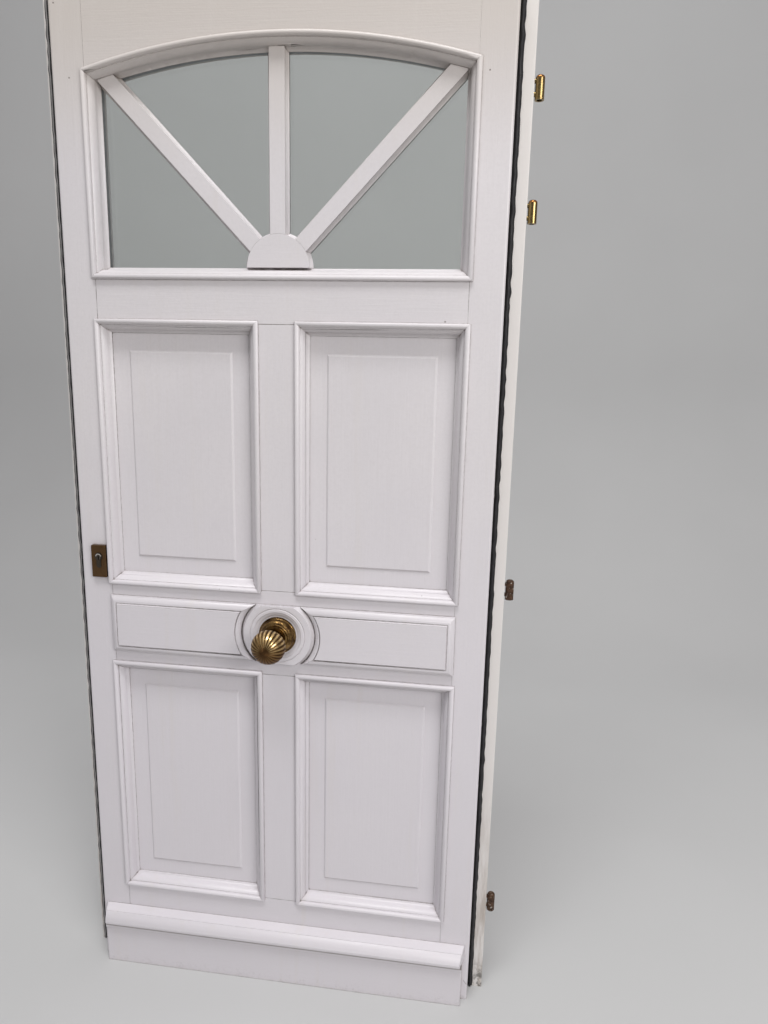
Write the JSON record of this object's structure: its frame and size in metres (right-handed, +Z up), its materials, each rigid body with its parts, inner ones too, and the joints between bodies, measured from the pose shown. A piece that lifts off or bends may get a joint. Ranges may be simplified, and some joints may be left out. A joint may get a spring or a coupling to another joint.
{
  "type": "door leaf",
  "caption": "White panelled wooden front door leaf with arched sunburst light, brass knob, mortise lock, lever inside and four lift-off hinge halves",
  "frame": {"origin": "on the hinge axis, at the mouth of the lowest hinge half's pin bore", "axes": "+Z up the hinge axis, +X from the lock edge to the hinge edge, +Y from outside to inside"},
  "size_m": [0.953, 0.2165, 2.115],
  "materials": {
    "paint": "satin white paint",
    "glass": "clear",
    "spacer": "satin",
    "seal": "matte",
    "brass": "polished, tarnished",
    "old_hinge": "rusted and stained",
    "steel": "brushed",
    "cylinder": "satin"
  },
  "bodies": {
    "leaf": {"lock_stile": "paint", "hinge_stile": "paint", "top_rail": "paint", "frieze_rail": "paint", "lock_rail": "paint", "bottom_rail": "paint", "upper_muntin": "paint", "lower_muntin": "paint", "panel_beads": "paint", "arch_moulding": "paint", "light_left_moulding": "paint", "light_right_moulding": "paint", "light_sill_moulding": "paint", "glass_beads": "paint", "centre_bar": "paint", "left_bar": "paint", "right_bar": "paint", "sunburst_hub": "paint", "inner_bars": "paint", "left_rail_block": "paint", "right_rail_block": "paint", "centre_roundel": "paint", "weatherboard": "paint", "kick_board": "paint", "lower_left_panel": "paint", "lower_right_panel": "paint", "upper_left_panel": "paint", "upper_right_panel": "paint", "lower_left_moulding": "paint", "lower_right_moulding": "paint", "upper_left_moulding": "paint", "upper_right_moulding": "paint", "outer_pane": "glass", "inner_pane": "glass", "glass_spacer": "spacer", "rebate_seal": "seal", "knob_rose": "brass", "door_knob": "brass", "cylinder_rosette": "brass", "inner_plate": "brass", "upper_hinge_half": "brass", "top_hinge_half": "brass", "bottom_hinge_half": "old_hinge", "middle_hinge_half": "old_hinge", "knob_bolt": "steel", "faceplate": "steel", "lock_case": "steel", "follower_spring": "steel", "cylinder_screw": "steel", "fixing_screws": "steel", "cylinder_body": "cylinder"},
    "lever": {"inner_lever": "brass", "spindle": "steel", "follower": "steel"},
    "latch": {"latch_bolt": "steel"},
    "deadbolt": {"deadbolt": "steel"},
    "outer_plug": {"outer_plug": "cylinder", "cam": "steel"},
    "inner_plug": {"inner_plug": "cylinder"}
  },
  "joints": [
    {"name": "lever_turn", "type": "hinge", "parent": "leaf", "child": "lever", "pos_m": [-0.869, -0.029, 0.8655], "axis": [0, 1, 0], "range_deg": [0, 45], "stiffness_Nm_per_rad": 1.2, "deforming": ["follower_spring"]},
    {"name": "latch_slide", "type": "slide", "parent": "leaf", "child": "latch", "axis": [1, 0, 0], "range_m": [0, 0.012]},
    {"name": "deadbolt_slide", "type": "slide", "parent": "leaf", "child": "deadbolt", "axis": [-1, 0, 0], "range_m": [0, 0.02]},
    {"name": "outer_plug_turn", "type": "hinge", "parent": "leaf", "child": "outer_plug", "pos_m": [-0.869, -0.029, 0.7935], "axis": [0, -1, 0], "range_deg": [0, 360]},
    {"name": "inner_plug_turn", "type": "hinge", "parent": "leaf", "child": "inner_plug", "pos_m": [-0.869, -0.009, 0.7935], "axis": [0, -1, 0], "range_deg": [0, 360]}
  ],
  "couplings": [
    {"joint": "latch_slide", "follows": "lever_turn", "m_per_rad": 0.015279},
    {"joint": "outer_plug_turn", "follows": "deadbolt_slide", "rad_per_m": 314.16}
  ]
}
